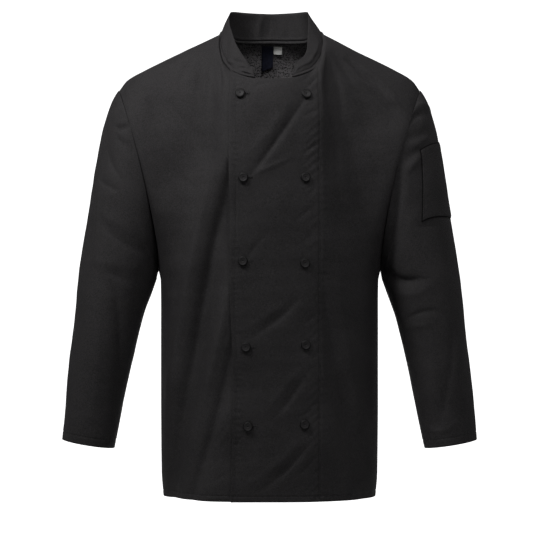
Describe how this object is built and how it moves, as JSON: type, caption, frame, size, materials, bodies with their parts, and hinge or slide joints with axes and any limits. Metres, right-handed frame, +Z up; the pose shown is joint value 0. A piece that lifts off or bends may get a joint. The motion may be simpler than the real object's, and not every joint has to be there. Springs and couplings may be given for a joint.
{
  "type": "chef jacket",
  "caption": "Double-breasted chef jacket in its hollow worn shape, with a stand collar, long sleeves, flat buttons, a sleeve pocket and a knit mesh back; worn on the upper body.",
  "frame": {"origin": "middle of the neck, level with the highest point of the shoulders, where the wearer carries the jacket", "axes": "+Z up, the front faces -Y, +X is the wearer's left"},
  "size_m": [0.6812, 0.2412, 0.7991],
  "materials": {
    "twill": "charcoal black poly-cotton twill, soft low sheen",
    "mesh": "charcoal black knit mesh, matt",
    "button": "dyed black plastic, satin",
    "neck_label": "dark navy woven tape, plain",
    "size_label": "white woven tape, plain"
  },
  "bodies": {
    "root": {"back": "mesh", "left_front": "twill", "right_front": "twill", "sleeve_left": "twill", "sleeve_right": "twill", "collar": "twill", "sleeve_pocket": "twill", "neck_label": "neck_label", "size_label": "size_label", "button_a_1": "button", "button_a_2": "button", "button_a_3": "button", "button_a_4": "button", "button_a_5": "button", "button_b_1": "button", "button_b_2": "button", "button_b_3": "button", "button_b_4": "button", "button_b_5": "button"}
  },
  "joints": []
}
